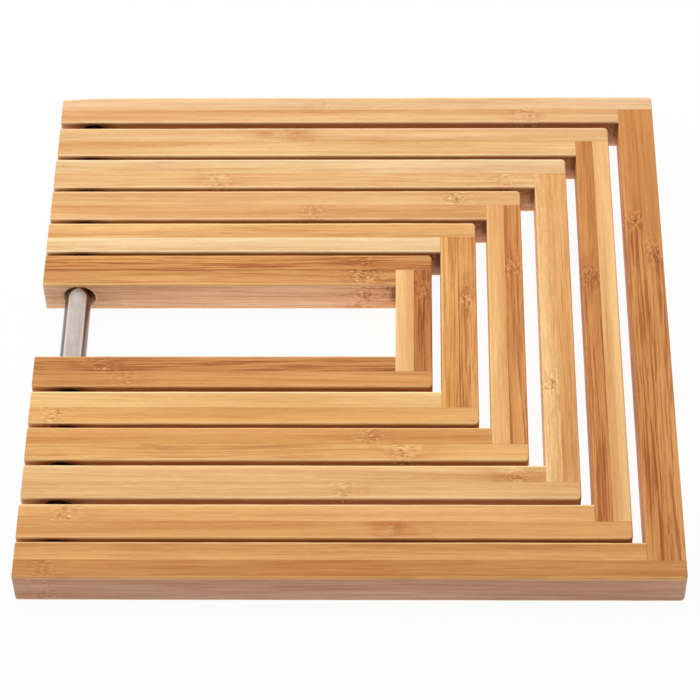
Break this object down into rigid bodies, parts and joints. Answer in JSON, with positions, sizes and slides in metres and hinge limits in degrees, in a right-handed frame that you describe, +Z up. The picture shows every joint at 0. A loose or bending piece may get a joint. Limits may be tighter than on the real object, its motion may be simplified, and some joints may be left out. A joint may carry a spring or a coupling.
{
  "type": "expanding trivet",
  "caption": "Nested U-shaped bamboo frames on a steel rod: closed it is a square trivet, and frames flipped over the rod lie end to end and double its length.",
  "frame": {"origin": "centre of the closed trivet on the plane that it lies on", "axes": "+X from the rod towards the cross-pieces, +Y along the rod, +Z up through the slats"},
  "size_m": [0.2058, 0.201, 0.0125],
  "materials": {
    "steel_rod": "satin, fine brushed",
    "bamboo_cream": "bamboo, sanded and oiled, satin",
    "bamboo_straw": "bamboo, sanded and oiled, satin",
    "bamboo_honey": "bamboo, sanded and oiled, satin",
    "bamboo_amber": "bamboo, sanded and oiled, satin",
    "bamboo_caramel": "bamboo, sanded and oiled, satin",
    "bamboo_toffee": "bamboo, sanded and oiled, satin"
  },
  "bodies": {
    "frame_1": {"frame_1_back_arm_outer_strip": "bamboo_cream", "frame_1_back_arm_inner_strip": "bamboo_straw", "frame_1_front_arm_outer_strip": "bamboo_caramel", "frame_1_front_arm_inner_strip": "bamboo_amber", "frame_1_cross_outer_strip": "bamboo_caramel", "frame_1_cross_inner_strip": "bamboo_caramel", "rod": "steel_rod"},
    "frame_2": {"frame_2_back_arm_outer_strip": "bamboo_straw", "frame_2_back_arm_inner_strip": "bamboo_straw", "frame_2_front_arm_outer_strip": "bamboo_amber", "frame_2_front_arm_inner_strip": "bamboo_honey", "frame_2_cross_outer_strip": "bamboo_straw", "frame_2_cross_inner_strip": "bamboo_caramel"},
    "frame_3": {"frame_3_back_arm_outer_strip": "bamboo_cream", "frame_3_back_arm_inner_strip": "bamboo_straw", "frame_3_front_arm_outer_strip": "bamboo_straw", "frame_3_front_arm_inner_strip": "bamboo_straw", "frame_3_cross_outer_strip": "bamboo_honey", "frame_3_cross_inner_strip": "bamboo_straw"},
    "frame_4": {"frame_4_back_arm_outer_strip": "bamboo_straw", "frame_4_back_arm_inner_strip": "bamboo_honey", "frame_4_front_arm_outer_strip": "bamboo_honey", "frame_4_front_arm_inner_strip": "bamboo_amber", "frame_4_cross_outer_strip": "bamboo_caramel", "frame_4_cross_inner_strip": "bamboo_honey"},
    "frame_5": {"frame_5_back_arm_outer_strip": "bamboo_honey", "frame_5_back_arm_inner_strip": "bamboo_cream", "frame_5_front_arm_outer_strip": "bamboo_honey", "frame_5_front_arm_inner_strip": "bamboo_straw", "frame_5_cross_outer_strip": "bamboo_amber", "frame_5_cross_inner_strip": "bamboo_amber"},
    "frame_6": {"frame_6_back_arm_outer_strip": "bamboo_caramel", "frame_6_back_arm_inner_strip": "bamboo_amber", "frame_6_front_arm_outer_strip": "bamboo_amber", "frame_6_front_arm_inner_strip": "bamboo_caramel", "frame_6_cross_outer_strip": "bamboo_toffee", "frame_6_cross_inner_strip": "bamboo_straw"}
  },
  "joints": [
    {"name": "frame_2_swing", "type": "hinge", "parent": "frame_1", "child": "frame_2", "pos_m": [-0.09141, 0, 0.00625], "axis": [0, -1, 0], "continuous": true},
    {"name": "frame_3_swing", "type": "hinge", "parent": "frame_1", "child": "frame_3", "pos_m": [-0.09141, 0, 0.00625], "axis": [0, -1, 0], "continuous": true},
    {"name": "frame_4_swing", "type": "hinge", "parent": "frame_1", "child": "frame_4", "pos_m": [-0.09141, 0, 0.00625], "axis": [0, -1, 0], "continuous": true},
    {"name": "frame_5_swing", "type": "hinge", "parent": "frame_1", "child": "frame_5", "pos_m": [-0.09141, 0, 0.00625], "axis": [0, -1, 0], "continuous": true},
    {"name": "frame_6_swing", "type": "hinge", "parent": "frame_1", "child": "frame_6", "pos_m": [-0.09141, 0, 0.00625], "axis": [0, -1, 0], "continuous": true}
  ]
}
